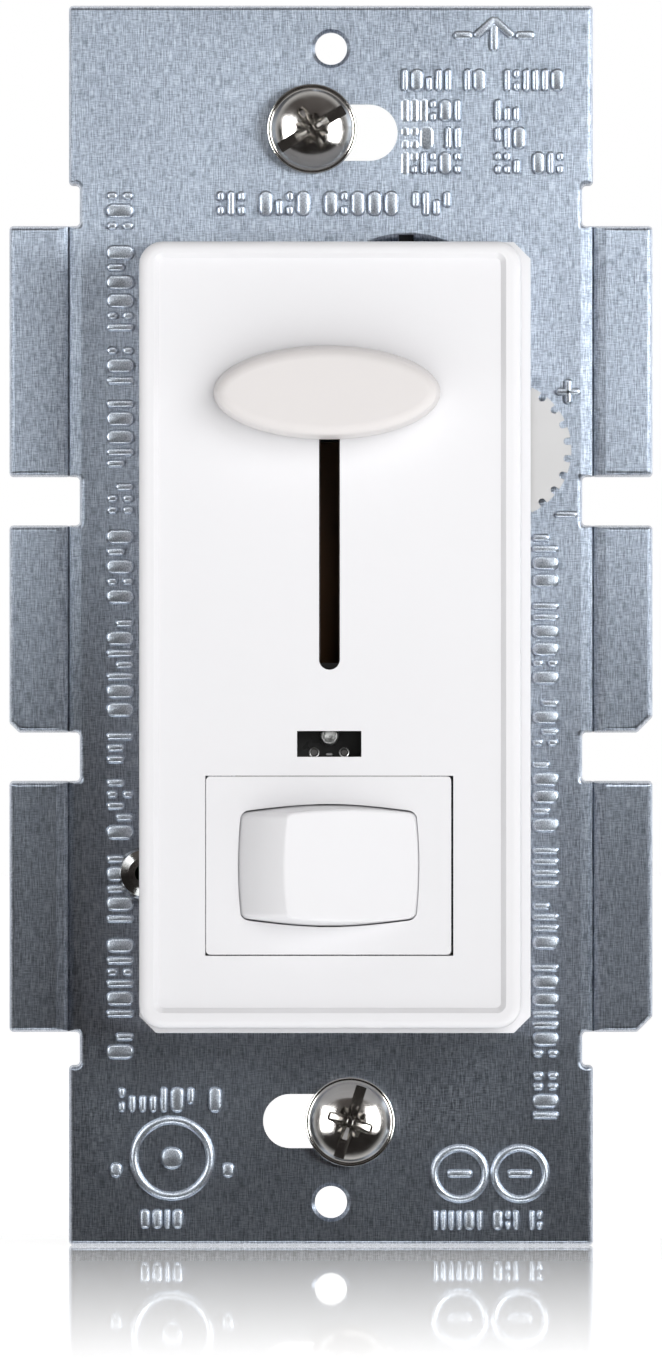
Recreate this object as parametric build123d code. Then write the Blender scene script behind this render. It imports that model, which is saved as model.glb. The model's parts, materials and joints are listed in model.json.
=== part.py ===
from build123d import *
import os
from math import cos, radians, sin, sqrt

# Wall dimmer with a slide knob, a rocker switch and a trim wheel on an aluminium strap.
# X is across the strap, +Z up it, and -Y points into the room. Y = 0 is the back of the strap,
# which rests on the wall box, and the origin is midway between the two box screws.

# ---- driving dimensions, mm ----
STRAP_LENGTH = 104.1
STRAP_END_WIDTH = 44.0
STRAP_WAIST_WIDTH = 42.2
STRAP_FIN_WIDTH = 54.0
STRAP_THICK = 1.5
WAIST_HALF = 36.9                                   # the wide ends stop here
STRAP_DRAFT = 7                                     # degrees, the sheared edge's lean
FINS = [(12.45, 33.55), (-9.0, 8.4), (-34.15, -13.05)]   # low and high Z of each snap-off fin
SCORE_X = 22.0
COIN_HALF, SCORE_DEPTH = 1.05, 0.75                 # dished band around each score line
EDGE_ROLL = 0.34                                    # punched front edge
DISH_CENTRE, DISH_R = (6.45, 24.15), 8.8            # whose arc shows as a dished band above the face

PLATE_SCREW_Z = 48.4                                # wall-plate holes, 96.8 apart
PLATE_HOLE_R = 1.35
BOX_SCREW_Z = 41.65                                 # box screws, 83.3 apart
SLOTS = [(0.2, 41.35, 4.75), (-0.3, -41.6, 4.55)]   # centre X, centre Z and width of each screw slot
SLOT_LENGTH = 10.8
SCREW_SHIFT = 1.6                                   # where each box screw stands in its slot
SCREW_R = 1.75                                      # 6-32 thread
SCREW_REACH = 22.0
HEAD_R = 3.85
NECK_R, NECK_END = 1.5, 1.0                         # plain neck that the washer turns on

FACE_X = (-16.05, 15.9)                             # cover
FACE_Z = (-33.7, 32.1)
FACE_FRONT, PANEL_FRONT = -7.5, -7.0
BASE_X = (-16.05, 16.72)                            # base under the cover
BASE_Z = (-34.15, 32.1)
BASE_FRONT = -4.2
PANEL_X, PANEL_Z = (-14.4, 14.2), (-32.0, 30.7)

KNOB_CENTRE = (-0.34, 19.46)
KNOB_SIZE = (19.0, 7.86)
KNOB_FRONT = -11.3
SLIDE_X, SLIDE_STROKE = -0.13, 20.0
PANEL_SLOT = (1.74, -3.73, 22.7)                    # width, low Z, high Z

WINDOW_CENTRE, WINDOW_SIZE = (-0.15, -9.93), (5.38, 2.17)

SWITCH_CENTRE = (-0.2, -20.1)
SWITCH_BEZEL, SWITCH_BODY = (20.5, 14.9), (18.9, 13.0)
SWITCH_BACK = 9.0
SWITCH_OPENING = (20.74, 15.06)                     # the cover's hole for the bezel
ROCKER_PIVOT_Y = -2.2
ROCKER_TILT = 16.0                                  # degrees each side of centre
ROCKER_TOP, ROCKER_R = 6.7, 8.85                    # flat top's height and end radius, about the pivot
ROCKER_HALF = (5.02, 4.4)                           # half height at the mouth's middle and at its ends
ROCKER_BOW, ROCKER_ROUND, ROCKER_GAP = 0.22, 0.62, 0.13
BLADE_PIVOT_Y, BLADE_TILT = 5.0, 9.0

WHEEL_CENTRE = (14.35, 14.7)
WHEEL_R, WHEEL_TEETH = 5.8, 24
WHEEL_Y = (-2.95, -1.8)
TRIM_PIN_X = (-3.2, -0.9, 1.4)                      # from the wheel's centre

HOUSING_HALF = (21.0, 33.0)
HOUSING_DEPTH, HOUSING_WALL = 27.0, 1.6
BOARD_Y = (13.0, 14.6)
HOUSING_SCREWS = [(-11.5, 27.5), (11.5, 27.5), (-11.5, -29.5), (11.5, -29.5)]
TERMINAL_Y = 20.8
TERMINALS = {"common": (-1, 12.0), "traveler_upper": (1, 12.0), "traveler_lower": (1, -12.0),
             "ground": (-1, -24.0)}                 # side of the housing, height
GROUND_RIVET = (-15.7, -20.8)
TRIAC_RIVET = (-12.2, 16.8)


# ---- building blocks ----
def block(x, y, z):
    """A box between the low and high value of each pair."""
    centre = [(pair[0] + pair[1]) / 2 for pair in (x, y, z)]
    return Pos(*centre) * Box(x[1] - x[0], y[1] - y[0], z[1] - z[0])


def plate(sketch, y_front, y_back, taper=0):
    """An XZ outline, drawn at y_back and raised forwards to y_front."""
    return extrude(Plane.XZ.offset(-y_back) * sketch, amount=y_back - y_front, taper=taper)


def post(x, z, radius, y_front, y_back):
    """A round post along Y."""
    return plate(Pos(x, z) * Circle(radius), y_front, y_back)


def span(x, z):
    """A rectangle outline between the low and high value of each pair."""
    return Pos((x[0] + x[1]) / 2, (z[0] + z[1]) / 2) * Rectangle(x[1] - x[0], z[1] - z[0])


def along_z(points, z):
    """A closed XY outline raised from the low to the high Z."""
    face = make_face(Polyline(*points, close=True))
    return Pos(0, 0, z[0]) * extrude(face, amount=z[1] - z[0], dir=(0, 0, 1))


def turned(profile, x, z):
    """A (radius, y) profile turned about the Y line through x, z."""
    face = make_face(Polyline(*profile, close=True))
    return Pos(x, 0, z) * revolve(face, Axis.Y)


def sunk(x, z, mouth, floor, depth):
    """A cone into the strap's front, from the mouth radius at its face to the floor radius."""
    widen = mouth - floor                           # carried on in front of the face by depth
    return Pos(x, -STRAP_THICK, z) * Rot(-90, 0, 0) * Cone(mouth + widen, floor, 2 * depth)


# ---- strap ----
def fin_blocks():
    outline = Sketch()
    for low, high in FINS:
        outline += span((-STRAP_FIN_WIDTH / 2, STRAP_FIN_WIDTH / 2), (low, high))
    return outline


def corner_nips():
    """Small sheared corners on three of the fins."""
    right, nips = STRAP_FIN_WIDTH / 2, Sketch()
    for x, z, size in [(right, FINS[1][0], 1.3), (right, FINS[2][0], 1.3), (-right, FINS[1][0], 0.8)]:
        nips += Pos(x, z) * Rot(0, 0, 45) * Rectangle(size * sqrt(2), size * sqrt(2))
    return nips


def mounting_strap():
    half_waist, half_end = STRAP_WAIST_WIDTH / 2, STRAP_END_WIDTH / 2
    outline = span((-half_waist, half_waist), (-WAIST_HALF - 1, WAIST_HALF + 1))
    for side in (-1, 1):
        ends = sorted((side * WAIST_HALF, side * STRAP_LENGTH / 2))
        outline += span((-half_end, half_end), ends)
    outline = outline + fin_blocks() - corner_nips()
    outline = fillet(outline.vertices(), 0.35)
    body = plate(outline, -STRAP_THICK, 0, taper=STRAP_DRAFT)
    body = fillet(body.faces().sort_by(Axis.Y)[0].edges(), EDGE_ROLL)

    front = -STRAP_THICK
    for side in (-1, 1):
        x = side * SCORE_X
        half = [(COIN_HALF, front - 0.1), (COIN_HALF, front), (0.42, front + 0.13), (0.1, front + 0.4)]
        groove = [(x - w, y) for w, y in half] + [(x, front + SCORE_DEPTH)]
        groove += [(x + w, y) for w, y in half[::-1]]
        for low, high in FINS:
            ends = (low - 0.05, high + 0.05)
            body -= along_z(groove, ends)
            body -= along_z([(x - 0.2, 0.1), (x - 0.2, 0), (x, -0.3), (x + 0.2, 0), (x + 0.2, 0.1)], ends)

    for x, z, width in SLOTS:
        body -= plate(Pos(x, z) * SlotOverall(SLOT_LENGTH, width), front - 1, 1)
    for side in (-1, 1):
        body -= post(0, side * PLATE_SCREW_Z, PLATE_HOLE_R, front - 1, 1)
        body -= sunk(0, side * PLATE_SCREW_Z, PLATE_HOLE_R + 0.3, PLATE_HOLE_R, 0.35)
    openings = span((SLIDE_X - 1.5, SLIDE_X + 1.5), (-4.5, 23.5))
    openings += Pos(*SWITCH_CENTRE) * Rectangle(SWITCH_BODY[0] + 0.4, SWITCH_BODY[1] + 0.4)
    openings += Pos(WINDOW_CENTRE[0], -10.66) * Rectangle(4.0, 1.6)
    openings += Pos(*WHEEL_CENTRE) * Circle(2.4)
    openings += Pos(6.33, 32.2) * Rectangle(1.25, 1.2)
    for x, z in HOUSING_SCREWS:
        openings += Pos(x, z) * Circle(1.45)
    for x, z in (GROUND_RIVET, TRIAC_RIVET):
        openings += Pos(x, z) * Circle(1.6)
    body -= plate(openings, front - 1, 1)
    dish = sunk(*DISH_CENTRE, DISH_R, DISH_R - 0.75, 0.5)
    return body - (dish & block((2.5, 10.4), (-5, 0), (31.0, 34.0)))


# ---- face ----
def face_base():
    outer = chamfer(span(BASE_X, BASE_Z).vertices(), 1.4)
    wall = 1.5
    inner = span((BASE_X[0] + wall, BASE_X[1] - wall), (BASE_Z[0] + wall, BASE_Z[1] - wall))
    ring = plate(outer - inner, BASE_FRONT, -STRAP_THICK)
    for x, z in HOUSING_SCREWS:                     # one screwed-down ear in each corner
        side, end = (1 if x > 0 else -1), (1 if z > 0 else -1)
        x_wall = BASE_X[1] - 1 if side > 0 else BASE_X[0] + 1
        z_wall = BASE_Z[1] - 1 if end > 0 else BASE_Z[0] + 1
        ear = span(sorted((x - side * 2.7, x_wall)), sorted((z - end * 2.7, z_wall)))
        ring += plate(ear, -STRAP_THICK - 1.2, -STRAP_THICK)
        ring -= post(x, z, 1.45, -STRAP_THICK - 2, 0)
    wheel_gap = span((8, BASE_X[1] + 1), (WHEEL_CENTRE[1] - WHEEL_R - 0.4, WHEEL_CENTRE[1] + WHEEL_R + 0.4))
    ring -= plate(wheel_gap, WHEEL_Y[0] - 0.35, 0)
    return ring - post(*GROUND_RIVET, 2.6, -STRAP_THICK - 1.2, 0)


def face_cover():
    outer = fillet(span(FACE_X, FACE_Z).vertices(), 2.0)
    shell = plate(outer, FACE_FRONT, BASE_FRONT - 0.15)
    shell = fillet(shell.faces().sort_by(Axis.Y)[0].edges(), 0.75)
    lip = 0.45                                      # the recess widens forwards by this much
    mouth = span((PANEL_X[0] - lip, PANEL_X[1] + lip), (PANEL_Z[0] - lip, PANEL_Z[1] + lip))
    mouth = fillet(mouth.vertices(), 0.8)
    floor = fillet(span(PANEL_X, PANEL_Z).vertices(), 0.45)
    shell -= loft([Plane.XZ.offset(-FACE_FRONT + 0.01) * mouth, Plane.XZ.offset(-PANEL_FRONT) * floor])
    wall = 1.5
    hollow = span((FACE_X[0] + wall, FACE_X[1] - wall), (FACE_Z[0] + wall, FACE_Z[1] - wall))
    shell -= plate(hollow, PANEL_FRONT + 1.4, 0)

    width, low, high = PANEL_SLOT
    holes = Pos(SLIDE_X, (low + high) / 2) * Rot(0, 0, 90) * SlotOverall(high - low, width)
    holes += Pos(*WINDOW_CENTRE) * Rectangle(*WINDOW_SIZE)
    holes += Pos(SWITCH_CENTRE[0] + 0.06, SWITCH_CENTRE[1] - 0.02) * Rectangle(*SWITCH_OPENING)
    shell -= plate(holes, FACE_FRONT - 1, 0)
    for x in (BASE_X[0] + 1.55, FACE_X[1] - 1.55):  # four snap legs just inside the base
        side = 1 if x > 0 else -1
        for z in (-8.0, 3.5):
            leg = block(sorted((x, x - side * 1.0)), (PANEL_FRONT + 1.3, -2.4), (z - 2, z + 2))
            shell += leg
    return shell


def insulating_sheet():
    sheet = span((-8.0, 7.6), (-12.8, 26.0)) - span((SLIDE_X - 0.75, SLIDE_X + 0.75), (-4.2, 23.2))
    sheet -= Pos(WINDOW_CENTRE[0], -10.66) * Rectangle(3.6, 1.2)
    return plate(sheet, -STRAP_THICK - 0.25, -STRAP_THICK)


def slider_knob():
    outline = Pos(*KNOB_CENTRE) * Ellipse(KNOB_SIZE[0] / 2, KNOB_SIZE[1] / 2)
    inner = Pos(*KNOB_CENTRE) * Ellipse(KNOB_SIZE[0] / 2 - 1.3, KNOB_SIZE[1] / 2 - 1.3)
    underside = PANEL_FRONT - 0.3
    cap = plate(outline, KNOB_FRONT, underside, taper=5)
    cap = fillet(cap.faces().sort_by(Axis.Y)[0].edges(), 0.85)
    cap -= plate(inner, underside - 2.2, underside)
    boss = span((SLIDE_X - 1.6, SLIDE_X + 1.6), (KNOB_CENTRE[1] - 2.55, KNOB_CENTRE[1] + 2.55))
    cap += plate(boss, underside - 2.4, underside)
    return cap - plate(lever_outline(), underside - 2.6, underside + 1)


# ---- slide pot ----
POT_X = (SLIDE_X - 3.7, SLIDE_X + 3.7)
POT_Z = (KNOB_CENTRE[1] - SLIDE_STROKE / 2 - 17.5, KNOB_CENTRE[1] - SLIDE_STROKE / 2 + 17.5)
POT_Y = (2.0, 9.0)


def lever_outline():
    return Pos(SLIDE_X, KNOB_CENTRE[1]) * Rectangle(0.8, 4.0)


def slide_pot_frame():
    sheet = 0.45
    frame = block(POT_X, POT_Y, POT_Z)
    frame -= block((POT_X[0] + sheet, POT_X[1] - sheet), (POT_Y[0] + sheet, POT_Y[1] + 1),
                   (POT_Z[0] + sheet, POT_Z[1] - sheet))
    middle = (POT_Z[0] + POT_Z[1]) / 2
    return frame - block((SLIDE_X - 0.8, SLIDE_X + 0.8), (0, POT_Y[0] + 1), (middle - 12.6, middle + 12.6))


def slide_pot_track():
    track = block(POT_X, (POT_Y[1], POT_Y[1] + 1.2), POT_Z)
    for z in (POT_Z[0] + 3, POT_Z[0] + 5.5, POT_Z[1] - 3):
        track += block((SLIDE_X - 0.4, SLIDE_X + 0.4), (POT_Y[1] + 1, BOARD_Y[0] + 0.4), (z - 0.4, z + 0.4))
    return track


def slide_pot_carriage():
    z = KNOB_CENTRE[1]
    carriage = block((SLIDE_X - 3.0, SLIDE_X + 3.0), (2.6, 7.2), (z - 4, z + 4))
    return carriage - plate(lever_outline(), 0, 6.0)


def slide_pot_lever():
    return plate(lever_outline(), PANEL_FRONT - 0.3 - 2.4, 6.0)


def slide_pot_wiper():
    z = KNOB_CENTRE[1]
    wiper = block((SLIDE_X - 2.2, SLIDE_X + 2.2), (7.2, 7.5), (z - 3, z + 3))
    for x in (SLIDE_X - 1.5, SLIDE_X + 0.7):
        wiper += wiper_finger(x, 0.8, z)
    return wiper


def wiper_finger(x, width, z):
    """One springy finger that leans from the carriage to the resistive track."""
    profile = [(7.4, z + 2.5), (8.9, z - 2.6), (8.9, z - 2.0), (7.4, z + 3.0)]
    face = make_face(Polyline(*[(0, y, height) for y, height in profile], close=True))
    return Pos(x, 0, 0) * extrude(face, amount=width, dir=(1, 0, 0))


# ---- indicator ----
LED_CENTRE = (-0.14, -9.25)
PIN_X, PIN_Z = (-1.41, 1.11), -10.66


def indicator_board():
    board = block((-4.2, 3.9), (-3.4, -2.6), (-13.2, -7.5))
    for x in PIN_X:
        board -= post(x, PIN_Z, 0.27, -4, 0)
    return board


def indicator_led():
    x, z = LED_CENTRE
    dome = post(x, z, 0.74, -4.65, -3.8)
    dome = fillet(dome.faces().sort_by(Axis.Y)[0].edges(), 0.7)
    return block((x - 1.0, x + 1.0), (-3.9, -3.4), (z - 0.6, z + 0.6)) + dome


def indicator_pins():
    return Part() + [post(x, PIN_Z, 0.25, -3.6, BOARD_Y[0]) for x in PIN_X]


# ---- rocker switch module ----
CAVITY = (9.0, 5.4)                                 # half width and half height behind the bezel


def in_switch(shape):
    """Moves a shape drawn about the switch's own centre line to its place."""
    return Pos(SWITCH_CENTRE[0], 0, SWITCH_CENTRE[1]) * shape


def rocker_frame():
    bezel = fillet(Rectangle(*SWITCH_BEZEL).vertices(), 0.35)
    body = plate(bezel, PANEL_FRONT, PANEL_FRONT + 1.5)
    body += plate(Rectangle(*SWITCH_BODY), PANEL_FRONT + 1.4, SWITCH_BACK)
    body -= block((-CAVITY[0], CAVITY[0]), (PANEL_FRONT + 1.5, SWITCH_BACK - 1.5), (-CAVITY[1], CAVITY[1]))
    body -= Pos(0, ROCKER_PIVOT_Y, 0) * drum(ROCKER_GAP)
    body -= Pos(0, ROCKER_PIVOT_Y, 0) * Cylinder(1.05, 12.2)
    for x in (-6.2, 0, 6.2):                        # terminal slots in the floor
        body -= block((x - 0.45, x + 0.45), (SWITCH_BACK - 2, SWITCH_BACK + 1), (-1.6, 1.6))
    return in_switch(body)


def drum(grow=0.0):
    """What the paddle sweeps about its pivot. Its section at the bezel's face is the bowed mouth."""
    middle, end = (half + grow for half in ROCKER_HALF)
    depth, radius = ROCKER_PIVOT_Y - PANEL_FRONT, ROCKER_R + grow
    edge = radius - ROCKER_BOW
    flanks = [Polyline((0, side * middle), (depth, side * middle), (edge, side * end)) for side in (-1, 1)]
    outline = make_face(flanks + [ThreePointArc((edge, -end), (radius, 0), (edge, end)),
                                  Line((0, -middle), (0, middle))])
    outline = fillet(outline.vertices().sort_by(Axis.X)[-2:], ROCKER_ROUND + grow)
    return revolve(Plane.XZ * outline, Axis.Z)


def tilted(shape, degrees, pivot_y):
    """Turns a shape about the Z line through the switch's centre at pivot_y."""
    return Pos(0, pivot_y, 0) * Rot(0, 0, degrees) * shape


def rocker_paddle():
    """Flat on top, with ends and flared sides that fill the mouth at both of its stops."""
    paddle = drum() & block((-9, 9), (-ROCKER_TOP, -2.3), (-6, 6))
    paddle -= block((-7.2, 7.2), (-3.2, 0), (-4.1, 4.1))
    paddle = fillet(paddle.edges().group_by(Axis.Y)[0], 0.25)
    paddle += block((-1.75, 1.75), (-3.3, 4.4), (-1.75, 1.75)) + Cylinder(1.0, 11.9)
    for end in (-1, 1):
        paddle += block((-1.2, 1.2), (-3.3, 0), sorted((end * 4.05, end * 4.85)))
    return in_switch(tilted(paddle - post(0, 0, 0.95, -2.0, 5), ROCKER_TILT, ROCKER_PIVOT_Y))


PLUNGER_TIP = BLADE_PIVOT_Y - 0.3 - 0.1 - ROCKER_PIVOT_Y


def switch_plunger():
    plunger = post(0, 0, 0.88, 1.4, PLUNGER_TIP - 0.88)
    plunger += Pos(0, PLUNGER_TIP - 0.88, 0) * Sphere(0.88)
    return in_switch(tilted(plunger, ROCKER_TILT, ROCKER_PIVOT_Y))


def plunger_spring():
    coil = Helix(pitch=0.62, height=2.7, radius=0.62, center=(0, 0, 0), direction=(0, 1, 0))
    wire = sweep(Plane(coil @ 0, z_dir=coil % 0) * Circle(0.15), path=coil, is_frenet=True)
    return in_switch(tilted(Pos(0, -1.6, 0) * wire, ROCKER_TILT, ROCKER_PIVOT_Y))


def switch_blade():
    blade = block((-6.5, 6.5), (-0.3, 0.3), (-2, 2))
    for x in (-6.1, 6.1):
        blade += post(x, 0, 0.9, 0.2, 0.65)
    blade -= Pos(0, 0.3, 0) * Cylinder(0.42, 6)     # seat over the centre terminal
    return in_switch(tilted(blade, -BLADE_TILT, BLADE_PIVOT_Y))


def terminal_post(x, top):
    """A flat terminal that stands through the floor of the switch down to the board."""
    return block((x - 0.4, x + 0.4), (top, BOARD_Y[0] + 0.4), (-1.5, 1.5))


def switch_centre_terminal():
    top = BLADE_PIVOT_Y + 0.3
    return in_switch(terminal_post(0, top + 0.15) + Pos(0, top, 0) * Cylinder(0.36, 3.0))


def switch_end_terminals():
    drop = 6.1 * sin(radians(BLADE_TILT)) + 0.65 * cos(radians(BLADE_TILT))
    top = BLADE_PIVOT_Y + drop + 0.12
    posts = Part()
    for side in (-1, 1):
        contact = block(sorted((side * 5.1, side * 6.9)), (top, top + 0.5), (-1.5, 1.5))
        posts += terminal_post(side * 6.2, top + 0.1) + contact
    return in_switch(posts)


# ---- trim wheel ----
def range_wheel():
    gap_r, gap_centre = 0.3, WHEEL_R - 0.3
    outline = Circle(WHEEL_R)
    tooth = 360 / WHEEL_TEETH
    for index in range(WHEEL_TEETH):
        notch = Pos(gap_centre, 0) * Circle(gap_r) + span((gap_centre, WHEEL_R + 1), (-gap_r, gap_r))
        outline -= Rot(0, 0, (index + 0.5) * tooth) * notch
    outline = Pos(*WHEEL_CENTRE) * outline
    return plate(outline, *WHEEL_Y) - plate(rotor_key(), WHEEL_Y[0] - 1, 0)


def rotor_key():
    """The D-shaped end of the trim pot's shaft, which turns the wheel."""
    return Pos(*WHEEL_CENTRE) * (Circle(1.5) - Pos(0, 1.5) * Rectangle(4, 1.0))


def trim_pot_rotor():
    return post(*WHEEL_CENTRE, 3.0, 2.0, 4.6) + plate(rotor_key(), WHEEL_Y[0], 2.5)


def trim_pot_body():
    x, z = WHEEL_CENTRE
    body = block((x - 4.4, x + 4.4), (0.6, 6.0), (z - 4.4, z + 4.4))
    body -= post(x, z, 3.15, 1.8, 4.8) + post(x, z, 1.75, 0, 3)
    for dx in TRIM_PIN_X:
        body += block((x + dx - 0.35, x + dx + 0.35), (5.9, BOARD_Y[0] + 0.4), (z - 3.7, z - 3.1))
    return body


# ---- box screws ----
def box_screw(side):
    """Combination-drive machine screw, domed in front of its slot and necked for its washer."""
    x, z, seat = -side * SCREW_SHIFT, side * BOX_SCREW_Z, -STRAP_THICK - 0.1
    head = turned([(0, seat), (HEAD_R, seat), (HEAD_R, seat - 0.6), (3.3, seat - 1.15),
                   (2.4, seat - 1.95), (1.3, seat - 2.35), (0, seat - 2.45)], x, z)
    shank = turned([(0, seat - 0.5), (NECK_R, seat - 0.5), (NECK_R, NECK_END), (SCREW_R, NECK_END),
                    (SCREW_R, SCREW_REACH - 1.0), (1.1, SCREW_REACH), (0, SCREW_REACH)], x, z)
    angle = 31 if side > 0 else 72
    drive = Rectangle(7.6, 0.95) + Rectangle(0.95, 4.4)
    drive = Pos(x, z) * Rot(0, 0, angle) * drive
    return head + shank - plate(drive, seat - 3, seat - 1.0)


def screw_washer(side):
    """Fibre washer that keeps a box screw in its slot."""
    x, z = -side * SCREW_SHIFT, side * BOX_SCREW_Z
    return plate(Pos(x, z) * (Circle(3.6) - Circle(NECK_R + 0.05)), 0.1, 0.9)


def rivet(x, z, grip):
    """A hollow rivet with its domed head in front of the strap."""
    front = -STRAP_THICK
    return turned([(0.75, front - 0.95), (1.3, front - 0.9), (1.95, front - 0.5), (2.2, front),
                   (1.58, front), (1.58, grip), (2.1, grip), (1.9, grip + 0.7), (0.75, grip + 0.7)], x, z)


# ---- housing ----
def pocket(side, z):
    """The solid wall and the hollow of one side pocket, open to the side and the back."""
    x_in, x_out = 17.0, HOUSING_HALF[0]
    solid = block(sorted((side * (x_in - 1.2), side * x_out)), (TERMINAL_Y - 6, HOUSING_DEPTH),
                  (z - 6.5, z + 6.5))
    hollow = block(sorted((side * x_in, side * (x_out + 1))), (TERMINAL_Y - 4.8, HOUSING_DEPTH + 1),
                   (z - 5.3, z + 5.3))
    shank = Pos(side * x_in, TERMINAL_Y, z) * Rot(0, 90, 0) * Cylinder(2.3, 6)
    leg = block(sorted((side * (x_in - 0.1), side * (x_in + 1.1))), (TERMINAL_Y - 7, TERMINAL_Y - 4),
                (z - 2.1, z + 2.1))
    return solid, hollow + shank + leg


def rear_housing():
    width, height = 2 * HOUSING_HALF[0], 2 * HOUSING_HALF[1]
    shell = plate(fillet(Rectangle(width, height).vertices(), 3.0), 0, HOUSING_DEPTH)
    outside = fillet(shell.faces().sort_by(Axis.Y)[-1].edges(), 1.8)
    wall = HOUSING_WALL
    inside = fillet(Rectangle(width - 2 * wall, height - 2 * wall).vertices(), 1.6)
    shell = outside - plate(inside, -1, HOUSING_DEPTH - wall)
    for x, z in HOUSING_SCREWS:                     # screw bosses, which also carry the board
        end = sorted((z, (1 if z > 0 else -1) * (HOUSING_HALF[1] - 1)))
        boss = plate(span((x - 2.7, x + 2.7), end) + Pos(x, z) * Circle(2.7), 0, BOARD_Y[0])
        shell += boss - post(x, z, 1.1, -1, 10)
    for side, z in TERMINALS.values():
        solid, hollow = pocket(side, z)
        shell = shell + (solid & outside) - hollow
    return shell


def housing_screws():
    seat = -STRAP_THICK - 1.2
    screws = Part()
    for x, z in HOUSING_SCREWS:
        screw = turned([(0, seat - 1.4), (1.7, seat - 1.4), (2.4, seat - 0.8), (2.4, seat), (1.25, seat),
                        (1.25, 0), (1.1, 0), (1.1, 7.5), (0.3, 9.0), (0, 9.0)], x, z)
        cross = Pos(x, z) * (Rectangle(2.6, 0.6) + Rectangle(0.6, 2.6))
        screws += screw - plate(cross, seat - 2, seat - 0.7)
    return screws


def terminal_plate(side, z):
    """A flat terminal on the floor of its pocket, with one leg into the board."""
    x_floor = 17.0
    across = sorted((side * x_floor, side * (x_floor + 1.0)))
    part = block(across, (TERMINAL_Y - 4, TERMINAL_Y + 4), (z - 4.2, z + 4.2))
    part += block(across, (BOARD_Y[0] - 0.6, TERMINAL_Y - 3.9), (z - 2, z + 2))
    return part - Pos(side * x_floor, TERMINAL_Y, z) * Rot(0, 90, 0) * Cylinder(2.0, 4)


def traveler_plates():
    return Part() + [terminal_plate(*TERMINALS[name]) for name in ("traveler_upper", "traveler_lower")]


def terminal_screw(side, z):
    """A binding-head wire screw that turns in its plate."""
    seat = 18.3
    screw = [(0, seat - 7), (1.2, seat - 7), (1.93, seat - 6.2), (1.93, seat), (3.9, seat),
             (3.9, seat + 1.2), (3.3, seat + 2.1), (0, seat + 2.3)]
    solid = revolve(make_face(Polyline(*screw, close=True)), Axis.Y)
    cut = block((-4.5, 4.5), (seat + 1.3, seat + 3), (-0.6, 0.6))
    cut += block((-0.6, 0.6), (seat + 1.3, seat + 3), (-2.0, 2.0))
    solid = Rot(0, 0, -90 * side) * (solid - cut)
    return Pos(0, TERMINAL_Y, z) * solid


def ground_bracket():
    """Runs from the ground screw's pocket to the rivet on the back of the strap."""
    side, z = TERMINALS["ground"]
    part = terminal_plate(side, z)
    x_rivet, z_rivet = GROUND_RIVET
    part += block((-18.0, -17.0), (0, TERMINAL_Y - 4), (z - 2, z + 1))
    part += block((-18.0, x_rivet + 2.4), (0, 0.8), (z - 2, z_rivet + 2.3))
    return part - post(x_rivet, z_rivet, 1.62, -1, 3)


# ---- board and what it carries ----
def main_board():
    half = HOUSING_HALF[0] - HOUSING_WALL - 0.6
    board = plate(Rectangle(2 * half, 61.0), *BOARD_Y)
    for side, z in TERMINALS.values():
        x_leg = sorted((side * 16.9, side * 18.1))
        board -= block(x_leg, (12, 16), (z - 2.1, z + 2.1))
    board -= block((-half - 1, -16.6), (12, 16), (-26.3, -21.7))
    for x, z, radius in board_holes():
        board -= post(x, z, radius, 12, 16)
    return board


def board_holes():
    """Where leads stand in the board, with each hole's radius."""
    holes = [(x, PIN_Z, 0.3) for x in PIN_X]
    holes += [(SLIDE_X, z, 0.65) for z in (POT_Z[0] + 3, POT_Z[0] + 5.5, POT_Z[1] - 3)]
    holes += [(WHEEL_CENTRE[0] + dx, WHEEL_CENTRE[1] - 3.4, 0.55) for dx in TRIM_PIN_X]
    holes += [(SWITCH_CENTRE[0] + dx, SWITCH_CENTRE[1], 1.65) for dx in (-6.2, 0, 6.2)]
    holes += [(TRIAC_RIVET[0] + dx, 1.0, 0.75) for dx in (-2.54, 0, 2.54)]
    return holes


def triac():
    x = TRIAC_RIVET[0]
    package = block((x - 5, x + 5), (0.55, 4.7), (4.0, 13.0))
    package += block((x - 5, x + 5), (0.25, 1.55), (4.5, 20.2))
    package -= post(*TRIAC_RIVET, 1.75, -1, 3)
    for dx in (-2.54, 0, 2.54):
        package += block((x + dx - 0.4, x + dx + 0.4), (2.6, 3.1), (0.7, 4.1))
        package += block((x + dx - 0.4, x + dx + 0.4), (2.6, BOARD_Y[1] + 0.5), (0.7, 1.2))
    return package


def triac_pad():
    x = TRIAC_RIVET[0]
    return block((x - 5.3, x + 5.3), (0, 0.25), (3.5, 20.7)) - post(*TRIAC_RIVET, 1.75, -1, 3)


CHOKE_CENTRE = (0.0, -2.0)


def choke_core():
    return plate(Pos(*CHOKE_CENTRE) * (Circle(7.6) - Circle(4.4)), 16.4, 22.0)


def choke_winding():
    coil = plate(Pos(*CHOKE_CENTRE) * (Circle(8.7) - Circle(3.3)), 15.3, 23.1)
    coil -= plate(Pos(*CHOKE_CENTRE) * (Circle(7.6) - Circle(4.4)), 16.4, 22.0)
    for x in (-5.5, 5.5):
        coil += post(x, CHOKE_CENTRE[1], 0.45, BOARD_Y[1], 15.4)
    return coil


def boxed_capacitor(x, z, depth):
    body = block(x, (BOARD_Y[1] + 0.4, BOARD_Y[1] + 0.4 + depth), z)
    body = fillet(body.edges().filter_by(Axis.Y), 0.5)
    middle = (z[0] + z[1]) / 2
    for x_leg in (x[0] + 1.5, x[1] - 1.5):
        body += post(x_leg, middle, 0.35, BOARD_Y[1], BOARD_Y[1] + 0.5)
    return body


def supply_capacitor():
    can = post(5.5, -20.5, 3.2, BOARD_Y[1] + 0.3, BOARD_Y[1] + 9.3)
    can = fillet(can.faces().sort_by(Axis.Y)[-1].edges(), 0.4)
    for dx in (-1.2, 1.2):
        can += post(5.5 + dx, -20.5, 0.25, BOARD_Y[1], BOARD_Y[1] + 0.4)
    return can


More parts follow.
